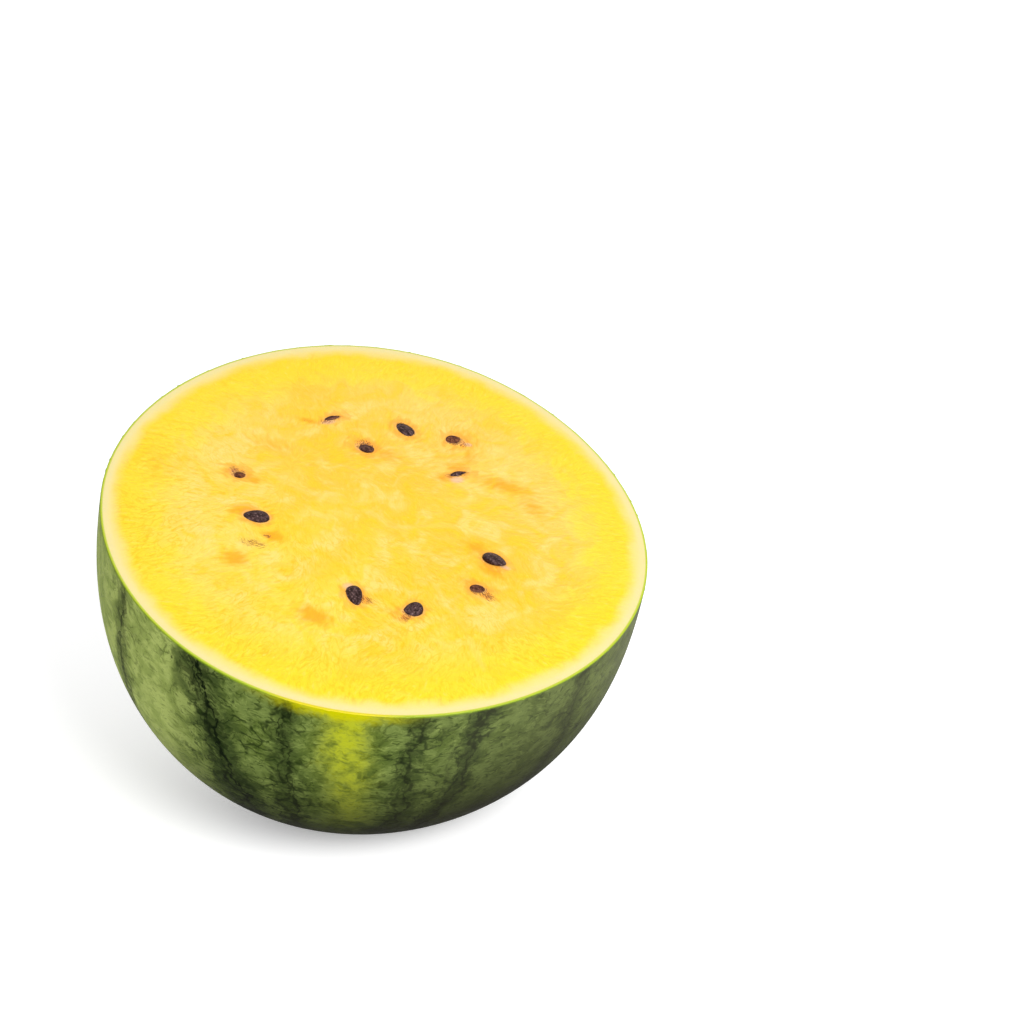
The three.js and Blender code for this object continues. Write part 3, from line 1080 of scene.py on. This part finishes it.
def seed_material():
    net = Network("seed_coat")
    place = net.place()
    unripe = net.mark("unripe")
    pits = net.noise(place, 1.3, 3.0, 0.7)
    streaks = net.noise(net.vector("MULTIPLY", place, (0.5, 1.2, 1.0)), 0.8, 3.0, 0.6)
    dark = net.blend(unripe, paint("28120F"), paint("54220E"))
    light = net.blend(unripe, paint("5C4444"), paint("8E5230"))
    speck = net.blend(unripe, paint("8C706E"), paint("A8683C"))
    colour = net.blend(net.fade(streaks, 0.36, 0.66), dark, light)
    colour = net.blend(net.fade(pits, 0.54, 0.66, 0.0, 0.8), colour, speck)
    colour = net.over(colour, net.fade(pits, 0.47, 0.36, 0.0, 0.8), "1C0A06")
    colour = net.over(colour, net.fade(net.mark("margin"), 0.72, 1.0, 0.0, 0.85), "300E04")
    net.bump(pits, 0.8, 0.6 * MM)
    return net.finish(colour, net.fade(pits, 0.4, 0.7, 0.3, 0.6), 0.12)


coat = seed_material()

# %% [markdown]
# ## Putting it together
# Flesh and rind are one mesh with two materials, because they grew as one piece. Up to here the mesh was upright
# and its object held the lean. Now the lean goes into the mesh itself, so that the box round it is square to the
# table. The marks keep the upright places, so the materials don't notice.

# %% Put the materials on
mesh.materials.clear()
mesh.materials.append(flesh)
mesh.materials.append(rind)
SKIN_DEPTH = 0.9  # mm: what lies deeper under the skin than this is flesh
FACE_DEPTH = 0.2  # mm: what lies higher than this below the cut is the cut face


def is_rind(polygon):
    """A face whose points all lie in the skin, below the cut."""
    top = CUT_HEIGHT / MM - FACE_DEPTH
    return all(skin_mm[i] - reach_mm[i] < SKIN_DEPTH and z_mm[i] < top for i in polygon.vertices)


on_rind = [int(is_rind(p)) for p in mesh.polygons]
mesh.polygons.foreach_set("material_index", on_rind)
mesh.polygons.foreach_set("use_smooth", [True] * len(mesh.polygons))
for seed in seeds.values():
    seed.data.materials.append(coat)
print(f"{sum(on_rind)} faces of rind, {len(on_rind) - sum(on_rind)} of flesh")

# %% Put the lean into the mesh
mesh.transform(POSE)
melon.matrix_world = Matrix.Identity(4)

# %% Tell the frame what each piece stands for
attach(melon, "root")
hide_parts("melon_half")
for name, seed in seeds.items():
    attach(seed, "root")
    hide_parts(name)

# %% [markdown]
# ## Table, light and camera
# The half lies on a white table in an even, bright room, as in a packshot. A white world lights it from all
# sides, and one large soft lamp in front, to the right and about 30 degrees up, gives it form. The table glows a
# little, so that it comes out white and only a soft shadow shows on it. The view transform is Standard, which
# leaves a saturated yellow as saturated as it was mixed.

# %% Table
FLOOR_RADIUS = 6.0
FLOOR_GLOW = 0.3
floor_shape = bmesh.new()
bmesh.ops.create_circle(floor_shape, cap_ends=True, segments=96, radius=FLOOR_RADIUS)
floor_mesh = bpy.data.meshes.new("table")
floor_shape.to_mesh(floor_mesh)
floor_shape.free()
floor = bpy.data.objects.new("table", floor_mesh)
bpy.context.scene.collection.objects.link(floor)
paper = Network("white_table")
paper.shader.inputs["Base Color"].default_value = (0.9, 0.9, 0.9, 1.0)
paper.shader.inputs["Emission Color"].default_value = (1.0, 1.0, 1.0, 1.0)
paper.shader.inputs["Emission Strength"].default_value = FLOOR_GLOW
paper.shader.inputs["Roughness"].default_value = 0.9
paper.shader.inputs["Specular IOR Level"].default_value = 0.0
floor_mesh.materials.append(paper.material)

# %% Light
ROOM_LIGHT = 0.85
LAMP_PLACE = Vector((0.75, -1.25, 0.85))  # from the fruit's middle
LAMP_SIZE = 0.9
LAMP_POWER = 32  # watts
middle = POSE.translation

world = bpy.data.worlds.new("bright_room")
bpy.context.scene.world = world
world.use_nodes = True
room = world.node_tree.nodes["Background"].inputs
room["Color"].default_value = (1.0, 1.0, 1.0, 1.0)
room["Strength"].default_value = ROOM_LIGHT

light = bpy.data.lights.new("key", "AREA")
light.shape = "DISK"
light.size = LAMP_SIZE
light.energy = LAMP_POWER
lamp = bpy.data.objects.new("key", light)
lamp.location = middle + LAMP_PLACE
lamp.rotation_euler = (-LAMP_PLACE).to_track_quat("-Z", "Y").to_euler()
bpy.context.scene.collection.objects.link(lamp)
print(f"the lamp is {LAMP_PLACE.length:.2f} m away")

# %% Camera
CAMERA_HEIGHT = radians(22)
CAMERA_DISTANCE = 0.988
FRAME_RIGHT = 56.8 * MM  # the fruit is left of the frame's middle
FRAME_UP = 11.0 * MM  # and a little below it
LENS = 85  # mm
FILM_WIDTH = 36  # mm
camera = bpy.data.objects.new("camera", bpy.data.cameras.new("camera"))
camera.data.lens = LENS
camera.data.sensor_width = FILM_WIDTH
camera.data.clip_end = 2 * FLOOR_RADIUS
back = Vector((0, -cos(CAMERA_HEIGHT), sin(CAMERA_HEIGHT)))
up = Vector((0, sin(CAMERA_HEIGHT), cos(CAMERA_HEIGHT)))
camera.location = middle + CAMERA_DISTANCE * back + FRAME_UP * up + Vector((FRAME_RIGHT, 0, 0))
camera.rotation_euler = (pi / 2 - CAMERA_HEIGHT, 0, 0)
bpy.context.scene.collection.objects.link(camera)
bpy.context.scene.camera = camera
bpy.context.scene.view_settings.view_transform = "Standard"
print(f"the camera is {CAMERA_DISTANCE} m from the fruit's middle")
